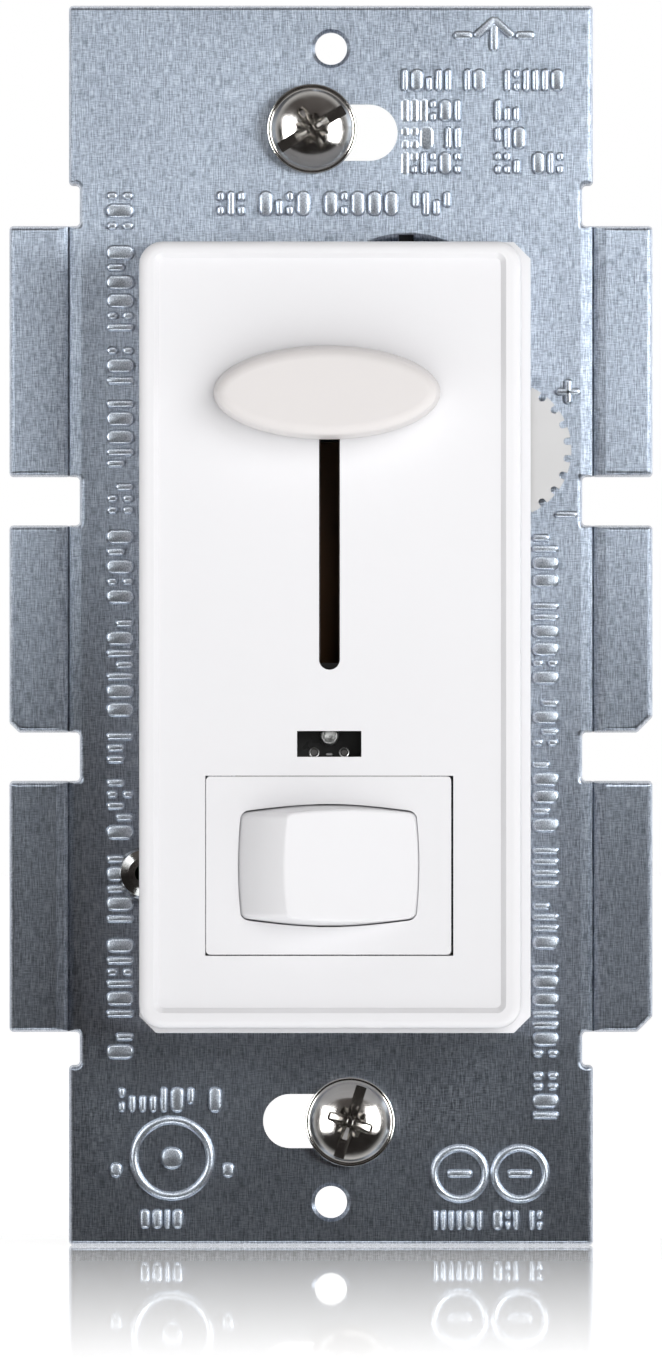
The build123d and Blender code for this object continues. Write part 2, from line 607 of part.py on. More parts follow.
def axial_part(x, z, radius, length, lift):
    """A lead-through body lying across the board, with its two legs."""
    y = BOARD_Y[1] + radius + lift
    part = Pos(x, y, z) * Rot(0, 90, 0) * Cylinder(radius, length)
    for side in (-1, 1):
        x_leg = x + side * (length / 2 + 0.7)
        part += Pos(x + side * (length / 2 + 0.45), y, z) * Rot(0, 90, 0) * Cylinder(0.3, 1.1)
        part += post(x_leg, z, 0.3, BOARD_Y[1], y + 0.3)
    return part


def resistors():
    return Part() + [axial_part(-4.6, z, 1.15, 6.2, 0.3) for z in (-14.0, -17.6, -21.2)]


def diodes():
    return Part() + [axial_part(x, 14.6, 0.95, 4.2, 0.3) for x in (-4.6, 4.6)]


def control_chip():
    chip = block((-7.5, 2.3), (BOARD_Y[1] + 0.5, BOARD_Y[1] + 3.9), (-29.2, -24.4))
    for index in range(4):
        x = -7.5 + 1.1 + index * 2.54
        for low, high in ((-29.7, -29.1), (-24.5, -23.9)):
            chip += block((x - 0.25, x + 0.25), (BOARD_Y[1], BOARD_Y[1] + 2.0), (low, high))
    return chip


# ---- every separate piece, by name ----
NODES = {
    "mounting_strap": mounting_strap(),
    "face_base": face_base(),
    "face_cover": face_cover(),
    "insulating_sheet": insulating_sheet(),
    "slider_knob": slider_knob(),
    "slide_pot_frame": slide_pot_frame(),
    "slide_pot_track": slide_pot_track(),
    "slide_pot_carriage": slide_pot_carriage(),
    "slide_pot_lever": slide_pot_lever(),
    "slide_pot_wiper": slide_pot_wiper(),
    "indicator_board": indicator_board(),
    "indicator_led": indicator_led(),
    "indicator_pins": indicator_pins(),
    "rocker_frame": rocker_frame(),
    "rocker_paddle": rocker_paddle(),
    "switch_plunger": switch_plunger(),
    "plunger_spring": plunger_spring(),
    "switch_blade": switch_blade(),
    "switch_centre_terminal": switch_centre_terminal(),
    "switch_end_terminals": switch_end_terminals(),
    "range_wheel": range_wheel(),
    "trim_pot_rotor": trim_pot_rotor(),
    "trim_pot_body": trim_pot_body(),
    "box_screw_top": box_screw(1),
    "box_screw_bottom": box_screw(-1),
    "screw_washer_top": screw_washer(1),
    "screw_washer_bottom": screw_washer(-1),
    "ground_rivet": rivet(*GROUND_RIVET, 0.8),
    "triac_rivet": rivet(*TRIAC_RIVET, 1.55),
    "rear_housing": rear_housing(),
    "housing_screws": housing_screws(),
    "common_plate": terminal_plate(*TERMINALS["common"]),
    "traveler_plates": traveler_plates(),
    "ground_bracket": ground_bracket(),
    "common_screw": terminal_screw(*TERMINALS["common"]),
    "traveler_screw_upper": terminal_screw(*TERMINALS["traveler_upper"]),
    "traveler_screw_lower": terminal_screw(*TERMINALS["traveler_lower"]),
    "ground_screw": terminal_screw(*TERMINALS["ground"]),
    "main_board": main_board(),
    "triac": triac(),
    "triac_pad": triac_pad(),
    "choke_core": choke_core(),
    "choke_winding": choke_winding(),
    "filter_capacitor": boxed_capacitor((-9.0, 9.0), (17.8, 27.0), 9.6),
    "timing_capacitor": boxed_capacitor((-3.6, 3.6), (8.2, 11.8), 7.0),
    "supply_capacitor": supply_capacitor(),
    "resistors": resistors(),
    "diodes": diodes(),
    "control_chip": control_chip(),
}

os.makedirs("parts", exist_ok=True)
for name, shape in NODES.items():
    export_step(shape, f"parts/{name}.step")
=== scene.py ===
import json
import math
import random

import bmesh
import bpy
from mathutils import Matrix, Vector

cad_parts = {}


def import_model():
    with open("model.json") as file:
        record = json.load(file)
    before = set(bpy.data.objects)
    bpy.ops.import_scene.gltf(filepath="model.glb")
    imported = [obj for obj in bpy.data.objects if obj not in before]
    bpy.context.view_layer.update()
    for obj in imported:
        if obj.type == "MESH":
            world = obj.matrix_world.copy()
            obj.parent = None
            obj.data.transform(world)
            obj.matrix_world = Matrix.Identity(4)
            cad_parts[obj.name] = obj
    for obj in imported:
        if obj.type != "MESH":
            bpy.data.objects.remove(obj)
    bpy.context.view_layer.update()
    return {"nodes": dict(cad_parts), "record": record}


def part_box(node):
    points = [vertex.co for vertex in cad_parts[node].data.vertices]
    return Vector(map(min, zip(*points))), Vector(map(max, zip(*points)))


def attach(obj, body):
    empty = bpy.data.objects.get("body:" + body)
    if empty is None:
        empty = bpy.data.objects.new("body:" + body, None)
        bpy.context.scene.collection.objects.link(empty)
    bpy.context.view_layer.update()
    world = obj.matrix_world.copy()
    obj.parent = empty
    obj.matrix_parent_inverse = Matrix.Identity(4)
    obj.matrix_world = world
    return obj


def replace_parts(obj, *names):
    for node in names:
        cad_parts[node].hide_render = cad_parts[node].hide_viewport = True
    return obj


# Slide dimmer on its mounting strap, seen square on from the room. Lengths below are in
# millimetres and become metres through MM. The screws, the indicator and the floor are placed from
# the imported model's boxes; the stamped marks and the lights have places of their own.
MM = 0.001
ROOT = "strap_assembly"

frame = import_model()
nodes = frame["nodes"]
scene = bpy.context.scene


def mm_box(node):
    """A node's low and high corners in millimetres."""
    low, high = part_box(node)
    return low / MM, high / MM


STRAP_LOW = mm_box("mounting_strap")[0]
STRAP_FRONT = STRAP_LOW.y
FLOOR_Z = STRAP_LOW.z


# ---------------------------------------------------------------- materials
class Shader:
    """A material whose colour, roughness and bump come from object-space noise, in millimetres."""

    def __init__(self, name):
        self.mat = bpy.data.materials.new(name)
        self.mat.use_nodes = True
        self.tree = self.mat.node_tree
        self.bsdf = self.tree.nodes["Principled BSDF"]
        self.place = self.tree.nodes.new("ShaderNodeTexCoord").outputs["Object"]

    def node(self, kind, **values):
        made = self.tree.nodes.new(kind)
        for key, value in values.items():
            setattr(made, key, value)
        return made

    def link(self, source, target):
        self.tree.links.new(source, target)

    def noise(self, size, detail=3.0, rough=0.5, offset=0.0):
        """Noise from 0 to 1 whose grains measure size = (x, y, z) millimetres."""
        stretch = self.node("ShaderNodeMapping")
        stretch.inputs["Location"].default_value = (offset, offset, offset)
        stretch.inputs["Scale"].default_value = [1 / (MM * s) for s in size]
        self.link(self.place, stretch.inputs["Vector"])
        made = self.node("ShaderNodeTexNoise")
        made.inputs["Scale"].default_value = 1.0
        made.inputs["Detail"].default_value = detail
        made.inputs["Roughness"].default_value = rough
        self.link(stretch.outputs["Vector"], made.inputs["Vector"])
        return made.outputs["Fac"]

    def ramp(self, value, stops):
        """Maps a value through (position, colour) stops."""
        made = self.node("ShaderNodeValToRGB")
        elements = made.color_ramp.elements
        while len(elements) < len(stops):
            elements.new(0.5)
        for element, (position, colour) in zip(elements, stops):
            element.position = position
            element.color = (*colour, 1.0)
        self.link(value, made.inputs["Fac"])
        return made.outputs["Color"]

    def spread(self, value, low, high, start=0.3, stop=0.7):
        """Maps a value's middle range on to low..high."""
        made = self.node("ShaderNodeMapRange")
        for key, number in (("From Min", start), ("From Max", stop), ("To Min", low), ("To Max", high)):
            made.inputs[key].default_value = number
        self.link(value, made.inputs["Value"])
        return made.outputs["Result"]

    def mix(self, factor, first, second):
        """Blends two colours, with factor as the second one's share."""
        made = self.node("ShaderNodeMix", data_type="RGBA")
        made.inputs["Factor"].default_value = factor
        colours = [s for s in made.inputs if s.type == "RGBA"]
        for socket, colour in zip(colours, (first, second)):
            self.link(colour, socket)
        return [s for s in made.outputs if s.type == "RGBA"][0]

    def math(self, operation, first, second):
        made = self.node("ShaderNodeMath", operation=operation)
        for socket, value in zip(made.inputs, (first, second)):
            if isinstance(value, (int, float)):
                socket.default_value = value
            else:
                self.link(value, socket)
        return made.outputs["Value"]

    def bump(self, height, depth):
        """Raises the surface by height times depth millimetres."""
        made = self.node("ShaderNodeBump")
        made.inputs["Strength"].default_value = 1.0
        made.inputs["Distance"].default_value = depth * MM
        self.link(height, made.inputs["Height"])
        self.link(made.outputs["Normal"], self.bsdf.inputs["Normal"])

    def set(self, **values):
        for key, value in values.items():
            self.bsdf.inputs[key.replace("_", " ")].default_value = value

    def use(self, colour, roughness=None):
        self.link(colour, self.bsdf.inputs["Base Color"])
        if roughness is not None:
            self.link(roughness, self.bsdf.inputs["Roughness"])


def shade(colour, factor):
    return tuple(min(1.0, channel * factor) for channel in colour)


def plastic(name, colour, roughness, grain=0.25, tint=0.03, depth=0.004, uneven=0.15):
    """Moulded plastic: faint cloudy tone, fine surface texture and slightly uneven gloss."""
    s = Shader(name)
    cloud = s.noise((9, 9, 9), detail=4.0)
    fine = s.noise((grain, grain, grain), detail=2.0)
    tone = s.ramp(cloud, [(0.3, shade(colour, 1 - tint)), (0.7, shade(colour, 1 + tint))])
    s.use(tone, s.spread(s.noise((2.5, 2.5, 2.5)), roughness * (1 - uneven), roughness * (1 + uneven)))
    s.bump(fine, depth)
    return s.mat


def metal(name, colour, roughness, grain=(0.05, 0.05, 0.05), tint=0.08, depth=0.002):
    """Plated or drawn metal: tone and gloss vary with the grain, with small dull patches."""
    s = Shader(name)
    streak = s.noise(grain, detail=3.0)
    patch = s.noise((1.6, 1.6, 1.6), detail=4.0)
    base = s.ramp(streak, [(0.3, shade(colour, 1 - tint)), (0.7, shade(colour, 1 + tint))])
    dull = s.ramp(patch, [(0.35, shade(colour, 0.9)), (0.65, colour)])
    s.use(s.mix(0.5, base, dull), s.spread(patch, roughness * 0.7, roughness * 1.4))
    s.bump(streak, depth)
    s.set(Metallic=1.0)
    return s.mat


def strap_metal():
    """Rolled aluminium with fine scratches along and across it, cloudy patches and a few deep scratches."""
    s = Shader("strap_aluminium")
    along = s.noise((0.10, 0.3, 1.1), detail=3.0, rough=0.6)
    across = s.noise((0.7, 0.3, 0.10), detail=3.0, rough=0.6, offset=5.0)
    fine = s.math("ADD", s.math("MULTIPLY", along, 0.6), s.math("MULTIPLY", across, 0.4))
    broad = s.noise((0.55, 1.0, 9.0), detail=3.0)
    cloud = s.noise((7, 7, 14), detail=4.0, offset=3.0)
    scratch = s.noise((0.09, 0.3, 14.0), detail=1.0, offset=7.0)
    dark, middle, light = (0.20, 0.23, 0.29), (0.54, 0.59, 0.68), (0.90, 0.94, 1.0)
    streaks = s.ramp(fine, [(0.40, dark), (0.50, middle), (0.60, light)])
    bands = s.ramp(broad, [(0.3, (0.46, 0.50, 0.58)), (0.7, (0.66, 0.71, 0.80))])
    colour = s.mix(0.2, streaks, bands)
    colour = s.mix(0.15, colour, s.ramp(cloud, [(0.3, (0.44, 0.47, 0.55)), (0.7, (0.66, 0.70, 0.77))]))
    rough = s.math("ADD", s.spread(fine, 0.34, 0.54), s.spread(cloud, -0.04, 0.05))
    s.use(colour, rough)
    cut = s.spread(scratch, 0.0, -0.6, start=0.68, stop=0.74)
    s.bump(s.math("ADD", s.math("ADD", fine, s.math("MULTIPLY", broad, 0.7)), cut), 0.020)
    tangent = s.node("ShaderNodeCombineXYZ")
    tangent.inputs["X"].default_value = 1.0
    s.link(tangent.outputs["Vector"], s.bsdf.inputs["Tangent"])
    s.set(Metallic=1.0, Anisotropic=0.9)
    return s.mat


def stamped_metal():
    """The strap's metal where stamping has stretched and burnished it: glossier, with a fine speckle."""
    s = Shader("stamped_aluminium")
    fine = s.noise((0.10, 0.10, 0.14), detail=3.0)
    cloud = s.noise((1.2, 1.2, 1.2), detail=3.0)
    tone = s.ramp(fine, [(0.36, (0.50, 0.54, 0.61)), (0.64, (0.90, 0.93, 0.98))])
    s.use(tone, s.spread(cloud, 0.34, 0.44))
    s.bump(fine, 0.008)
    s.set(Metallic=1.0)
    return s.mat


def clear_resin():
    s = Shader("clear_resin")
    haze = s.noise((0.4, 0.4, 0.4))
    s.use(s.ramp(haze, [(0.3, (0.86, 0.88, 0.86)), (0.7, (0.98, 0.98, 0.97))]), s.spread(haze, 0.03, 0.10))
    s.set(Transmission_Weight=0.9, IOR=1.5)
    return s.mat


WHITE = (0.845, 0.845, 0.865)
MATERIALS = {
    "aluminium": strap_metal(),
    "face_white": plastic("face_white", WHITE, 0.34, grain=0.6, tint=0.004, depth=0.0008, uneven=0.04),
    "knob_white": plastic("knob_white", (0.755, 0.728, 0.72), 0.42,
                          grain=0.5, tint=0.004, depth=0.0008, uneven=0.04),
    "wheel_grey": plastic("wheel_grey", (0.62, 0.62, 0.62), 0.45, grain=0.2, tint=0.02),
    "nickel": metal("nickel", (0.50, 0.485, 0.465), 0.17, grain=(0.3, 0.3, 0.3), tint=0.05, depth=0.0006),
    "steel": metal("steel", (0.56, 0.57, 0.58), 0.30),
    "zinc_steel": metal("zinc_steel", (0.62, 0.63, 0.62), 0.28, tint=0.12),
    "black_steel": metal("black_steel", (0.055, 0.05, 0.05), 0.35),
    "green_steel": metal("green_steel", (0.04, 0.30, 0.10), 0.32),
    "tinned": metal("tinned", (0.70, 0.70, 0.70), 0.30),
    "brass": metal("brass", (0.78, 0.58, 0.27), 0.27, grain=(0.08, 0.5, 0.08)),
    "copper": metal("copper", (0.72, 0.33, 0.15), 0.25, grain=(0.2, 0.2, 0.2)),
    "fibre_black": plastic("fibre_black", (0.15, 0.115, 0.11), 0.7, grain=0.12, tint=0.3, depth=0.01),
    "fibre_red": plastic("fibre_red", (0.30, 0.075, 0.05), 0.65, grain=0.15, tint=0.2, depth=0.01),
    "nylon_black": plastic("nylon_black", (0.02, 0.02, 0.02), 0.5, tint=0.15),
    "housing_black": plastic("housing_black", (0.022, 0.022, 0.024), 0.42,
                             grain=0.18, tint=0.15, depth=0.012),
    "board_black": plastic("board_black", (0.035, 0.036, 0.036), 0.3, grain=0.1, tint=0.3, depth=0.01),
    "board_green": plastic("board_green", (0.02, 0.13, 0.05), 0.25, grain=0.3, tint=0.15, depth=0.003),
    "phenolic": plastic("phenolic", (0.20, 0.10, 0.04), 0.5, tint=0.15),
    "clear_resin": clear_resin(),
    "epoxy_black": plastic("epoxy_black", (0.018, 0.018, 0.018), 0.55, grain=0.08, tint=0.15, depth=0.006),
    "pad_grey": plastic("pad_grey", (0.35, 0.37, 0.38), 0.8, grain=0.3, tint=0.06),
    "ferrite": plastic("ferrite", (0.045, 0.045, 0.048), 0.6, grain=0.08, tint=0.2, depth=0.008),
    "capacitor_yellow": plastic("capacitor_yellow", (0.72, 0.46, 0.04), 0.3, tint=0.05),
    "capacitor_red": plastic("capacitor_red", (0.36, 0.04, 0.02), 0.25, tint=0.06),
    "capacitor_sleeve": plastic("capacitor_sleeve", (0.02, 0.03, 0.09), 0.25, tint=0.08),
    "resistor_tan": plastic("resistor_tan", (0.55, 0.38, 0.20), 0.45, tint=0.06),
}

slot_of = {row["node"]: row["material_slot"] for row in frame["record"]["subparts"]}
for name, part in nodes.items():
    part.data.materials.clear()
    part.data.materials.append(MATERIALS[slot_of[name]])


# ---------------------------------------------------------------- mesh building
def piece(name, mesh_builder, slot, body, smooth_angle=30):
    """Turns a bmesh in millimetres into a piece that rides on a CAD body."""
    mesh_builder.normal_update()
    mesh = bpy.data.meshes.new(name)
    mesh_builder.to_mesh(mesh)
    mesh_builder.free()
    mesh.transform(Matrix.Scale(MM, 4))
    made = bpy.data.objects.new(name, mesh)
    scene.collection.objects.link(made)
    mesh.materials.append(MATERIALS[slot])
    mesh.shade_smooth()
    mesh.set_sharp_from_angle(angle=math.radians(smooth_angle))
    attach(made, body)
    return made


def bridge(bm, rings, close_start=True, close_end=True):
    """Skins rings of points, each a closed loop of equal count, into a tube."""
    loops = [[bm.verts.new(point) for point in ring] for ring in rings]
    count = len(rings[0])
    for first, second in zip(loops, loops[1:]):
        for i in range(count):
            bm.faces.new((first[i], first[(i + 1) % count], second[(i + 1) % count], second[i]))
    if close_start:
        bm.faces.new(list(reversed(loops[0])))
    if close_end:
        bm.faces.new(loops[-1])


def ring_points(centre, radius, y, count=64):
    x, z = centre
    turns = [2 * math.pi * i / count for i in range(count)]
    return [(x + radius * math.cos(t), y, z + radius * math.sin(t)) for t in turns]


def pill_outline(x, z, width, height, turn, grow, corner_steps=4):
    """A rounded rectangle about x, z, grown outwards by grow and turned by turn radians."""
    half_w, half_h = width / 2, height / 2
    radius = min(half_w, half_h) * 0.9
    points = []
    for quarter, (sx, sz) in enumerate(((1, 1), (-1, 1), (-1, -1), (1, -1))):
        for step in range(corner_steps + 1):
            t = (quarter + step / corner_steps) * math.pi / 2
            px = sx * (half_w - radius) + (radius + grow) * math.cos(t)
            pz = sz * (half_h - radius) + (radius + grow) * math.sin(t)
            points.append((x + px * math.cos(turn) - pz * math.sin(turn),
                           z + px * math.sin(turn) + pz * math.cos(turn)))
    return points


MARK_HEIGHT, LOW_MARK = 0.3, 0.07
MARK_STEPS = ((0.10, -0.02), (0.06, 0.3), (0.01, 0.65), (-0.06, 0.9), (-0.14, 1.0))


def screw_paths():
    """Each box screw's line of travel: its centre's low and high X, its Z and its head's radius."""
    joints = {row["name"]: row for row in frame["record"]["behaviour"]["joints"]}
    for end in ("top", "bottom"):
        low, high = mm_box("box_screw_" + end)
        x, travel = (low.x + high.x) / 2, joints[end + "_screw_shift"]["range_m"]
        yield x + travel[0] / MM, x + travel[1] / MM, (low.z + high.z) / 2, (high.x - low.x) / 2


SCREW_PATHS = list(screw_paths())


def mark_rise(x, z, reach):
    """A mark's height: low where a screw's head slides over it."""
    for low, high, path_z, head in SCREW_PATHS:
        if math.hypot(max(0.0, low - x, x - high), z - path_z) < head + reach:
            return LOW_MARK
    return MARK_HEIGHT


def raised_pill(bm, x, z, width, height, turn=0.0):
    """One stamped-up mark on the strap with a soft shoulder."""
    rise = mark_rise(x, z, max(width, height) / 2)
    rings = [[(px, STRAP_FRONT - rise * up, pz)
              for px, pz in pill_outline(x, z, width, height, turn, grow)] for grow, up in MARK_STEPS]
    bridge(bm, rings, close_start=False)


def raised_ring(bm, x, z, radius, stroke, count=72):
    """A stamped-up ring with a round-shouldered section."""
    half = stroke / 2
    section = [(-half - 0.14, -0.02), (-half - 0.04, 0.5), (-half + 0.1, 0.95), (half - 0.1, 0.95),
               (half + 0.04, 0.5), (half + 0.14, -0.02)]
    rings = [ring_points((x, z), radius + out, STRAP_FRONT - MARK_HEIGHT * up, count) for out, up in section]
    bridge(bm, rings, close_start=False, close_end=False)


# ---------------------------------------------------------------- stamped marks on the strap
# Each run of small marks stands where the strap is stamped: start, end and height of the run.
MARK_RUNS = [
    ((6.0, 45.75), (13.4, 45.75), 1.8), ((14.6, 45.75), (20.2, 45.75), 1.8),
    ((6.0, 43.2), (11.7, 43.2), 1.8), ((13.8, 43.2), (17.5, 43.2), 1.8),
    ((6.0, 40.9), (11.7, 40.9), 1.8), ((13.8, 40.9), (17.3, 40.9), 1.8),
    ((6.0, 38.8), (11.7, 38.8), 1.8), ((13.8, 38.8), (20.6, 38.8), 1.8),
    ((-9.5, 35.4), (10.8, 35.4), 2.0),
    ((-17.7, 36.3), (-17.7, -37.4), 2.2),
    ((18.0, 7.6), (18.0, -42.6), 2.1),
    ((-17.8, -39.8), (-8.8, -39.8), 2.0),
    ((-16.0, -49.8), (-11.5, -49.8), 1.5),
    ((8.6, -49.9), (18.6, -49.9), 1.5),
]
BIG_RING = ((-13.34, -44.7), 3.2)
SMALL_RINGS = [((10.8, -46.0), 2.15), ((15.86, -46.0), 2.15)]
ARROW = (13.7, 49.6)
PLUS, MINUS = (19.9, 19.6), (19.75, 9.3)


def mark_run(bm, start, end, height, dice):
    """A line of plain raised bars, blocks and dots, in groups, from start to end."""
    start, end = Vector(start), Vector(end)
    along = (end - start).normalized()
    across = Vector((-along.y, along.x))
    turn = math.atan2(along.y, along.x)
    stroke, travelled, length = 0.24 * height, 0.0, (end - start).length
    group = dice.randint(3, 7)
    while travelled < length - 0.5 * height:
        style = dice.choice(("bar", "bar", "block", "block", "dots", "low", "high"))
        width = 0.5 * height if style == "block" else stroke
        centre = start + along * (travelled + width / 2)
        if style in ("bar", "block"):
            raised_pill(bm, *centre, width, height, turn)
        elif style == "dots":
            for side in (-1, 1):
                raised_pill(bm, *(centre + across * side * 0.3 * height), stroke, 0.36 * height, turn)
        else:
            side = -1 if style == "low" else 1
            raised_pill(bm, *(centre + across * side * 0.17 * height), stroke, 0.64 * height, turn)
        travelled += width + 0.2 * height
        group -= 1
        if group == 0:
            travelled += 0.45 * height
            group = dice.randint(3, 7)


def strap_marks():
    bm = bmesh.new()
    dice = random.Random(7)
    for start, end, height in MARK_RUNS:
        mark_run(bm, start, end, height, dice)
    (x, z), radius = BIG_RING
    raised_ring(bm, x, z, radius, 0.5)
    raised_pill(bm, x, z, 1.7, 1.7)
    for side in (-1, 1):
        raised_pill(bm, x + side * (radius + 1.5), z - 1.0, 0.9, 1.1)
    for (x, z), radius in SMALL_RINGS:
        raised_ring(bm, x, z, radius, 0.42)
        raised_pill(bm, x, z, 2.0, 0.55)
    x, z = ARROW
    raised_pill(bm, x, z - 0.3, 0.6, 2.2)
    for side in (-1, 1):
        raised_pill(bm, x + side * 0.75, z + 0.55, 0.55, 2.2, side * math.radians(48))
        raised_pill(bm, x + side * 2.6, z - 0.1, 1.5, 0.6)
    x, z = PLUS
    raised_pill(bm, x, z, 2.0, 0.5)
    raised_pill(bm, x, z, 0.5, 2.0)
    raised_pill(bm, *MINUS, 1.8, 0.45)
    made = piece("strap_marks", bm, "aluminium", ROOT, smooth_angle=60)
    made.data.materials[0] = stamped_metal()


# ---------------------------------------------------------------- screws
THREAD_PITCH, THREAD_DEPTH = 0.794, 0.42
SHANK_RADIUS = 1.75
DOME_RADIUS, RIM_ROUND = 3.42, 0.17
WING_ROOT, WING_ROUND = 0.3, 0.15


def threaded_shank(bm, radius, near, far, segments=28, steps=8):
    """A helical thread about the Y axis, from near to far, with a pointed end."""
    count = int((far - near) / THREAD_PITCH * steps)
    rings = []
    for j in range(count + 1):
        y = near + (far - near) * j / count
        run_out = min(1.0, (far - y) / 1.0 + 0.15, (y - near) / 0.6 + 0.05)
        ring = []
        for i in range(segments):
            phase = (y / THREAD_PITCH - i / segments) % 1.0
            crest = 1 - abs(2 * phase - 1)
            r = (radius - THREAD_DEPTH) + THREAD_DEPTH * min(1.0, 1.35 * crest) * run_out
            r = min(r, radius - max(0.0, y - far + 0.8) * 0.55)
            t = 2 * math.pi * i / segments
            ring.append((r * math.cos(t), y, r * math.sin(t)))
        rings.append(ring)
    bridge(bm, rings)


def lathe(bm, profile, segments=96):
    """Turns (radius, y) points about the Y axis into a closed solid."""
    rings = [ring_points((0, 0), max(radius, 1e-3), y, segments) for radius, y in profile]
    bridge(bm, rings)


def drive_cutter(bm, arms, top, bottom, taper):
    """A cross or slot of (half length, half width) arms that narrows towards its floor."""
    (long_x, wide_x), (long_z, wide_z) = arms
    outline = [(long_x, -wide_x), (long_x, wide_x), (wide_z, wide_x), (wide_z, long_z), (-wide_z, long_z),
               (-wide_z, wide_x), (-long_x, wide_x), (-long_x, -wide_x), (-wide_z, -wide_x),
               (-wide_z, -long_z), (wide_z, -long_z), (wide_z, -wide_x)]
    rings = [[(x * k, y, z * k) for x, z in outline] for y, k in ((top, 1.0), (bottom, taper))]
    bridge(bm, rings)


def cut(target, builders):
    """Takes the cutters' shapes out of target for good."""
    for build in builders:
        bm = bmesh.new()
        build(bm)
        bmesh.ops.recalc_face_normals(bm, faces=bm.faces)
        mesh = bpy.data.meshes.new("cutter")
        bm.to_mesh(mesh)
        bm.free()
        mesh.transform(Matrix.Scale(MM, 4))
        cutter = bpy.data.objects.new("cutter", mesh)
        scene.collection.objects.link(cutter)
        cutter.matrix_world = target.matrix_world
        step = target.modifiers.new("cut", "BOOLEAN")
        step.operation, step.solver, step.object = "DIFFERENCE", "EXACT", cutter
        step.use_self = True
        bpy.context.view_layer.update()
        shaped = bpy.data.meshes.new_from_object(target.evaluated_get(bpy.context.evaluated_depsgraph_get()))
        target.modifiers.clear()
        target.data = shaped
        bpy.data.objects.remove(cutter)
    target.data.shade_smooth()
    target.data.set_sharp_from_angle(angle=math.radians(35))


def arc(centre, radius, start, stop, steps):
    """(radius, y) points of an arc, angles in degrees from the -Y direction."""
    r0, y0 = centre
    angles = [math.radians(start + (stop - start) * i / steps) for i in range(steps + 1)]
    return [(r0 + radius * math.sin(a), y0 - radius * math.cos(a)) for a in angles]


def recess_cutter(bm, top, floor):
    """A cross recess: four wings that narrow and rise towards their tips."""
    for quarter in range(4):
        turn = Matrix.Rotation(math.radians(90 * quarter), 4, "Y")
        rings = []
        for y, reach, half in ((top, 2.25, 0.46), (floor - 0.9, 1.75, 0.36), (floor, 0.5, 0.2)):
            side = [(-WING_ROOT, half), (reach - WING_ROUND, half), (reach, half * 0.6)]
            outline = [(x, -z) for x, z in side] + side[::-1]
            rings.append([turn @ Vector((x, y, z)) for x, z in outline])
        bridge(bm, rings)


def well_cutter(bm, top, floor):
    """A square pyramid in the middle of the cross recess."""
    rings = [[(k, y, 0), (0, y, k), (-k, y, 0), (0, y, -k)] for y, k in ((top, 1.75), (floor - 0.2, 0.25))]
    bridge(bm, [[Matrix.Rotation(math.radians(45), 4, "Y") @ Vector(p) for p in ring] for ring in rings])


def box_screw(node, body, turn):
    """Combination-drive machine screw: rimmed dome, long slot, pointed cross recess, real thread."""
    low, high = mm_box(node)
    centre = Vector(((low.x + high.x) / 2, 0, (low.z + high.z) / 2))
    rim, seat, crown = (high.x - low.x) / 2 - 0.08, STRAP_FRONT - 0.1, low.y
    dome_rise = seat - 0.62 - crown
    sphere = (DOME_RADIUS ** 2 + dome_rise ** 2) / (2 * dome_rise)
    sweep = math.degrees(math.asin(DOME_RADIUS / sphere))
    profile = arc((0, crown + sphere), sphere, 0.4, sweep, 16)
    profile += arc((rim - RIM_ROUND, seat - 0.45), RIM_ROUND, -40, 90, 8)
    profile += [(rim, seat - 0.12), (rim - 0.12, seat), (1.4, seat)]
    bm = bmesh.new()
    lathe(bm, profile)
    bmesh.ops.recalc_face_normals(bm, faces=bm.faces)
    made = piece(node + "_turned", bm, "nickel", body, smooth_angle=35)
    cut(made, [
        lambda b: drive_cutter(b, ((4.5, 0.47), (0.3, 0.3)), crown - 1, seat - 0.95, 0.96),
        lambda b: well_cutter(b, crown - 0.3, seat + 0.2),
        lambda b: recess_cutter(b, crown - 0.5, seat - 0.2),
    ])
    shank = bmesh.new()
    threaded_shank(shank, SHANK_RADIUS, seat - 0.05, high.y)
    bmesh.ops.recalc_face_normals(shank, faces=shank.faces)
    thread = piece(node + "_thread", shank, "nickel", body, smooth_angle=35)
    place = Matrix.Translation(centre * MM) @ Matrix.Rotation(math.radians(-turn), 4, "Y")
    for part in (made, thread):
        part.data.transform(place)
        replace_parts(part, node)
    edge = made.modifiers.new("worn edges", "BEVEL")
    edge.width, edge.segments, edge.limit_method, edge.angle_limit = 0.05 * MM, 2, "ANGLE", math.radians(40)


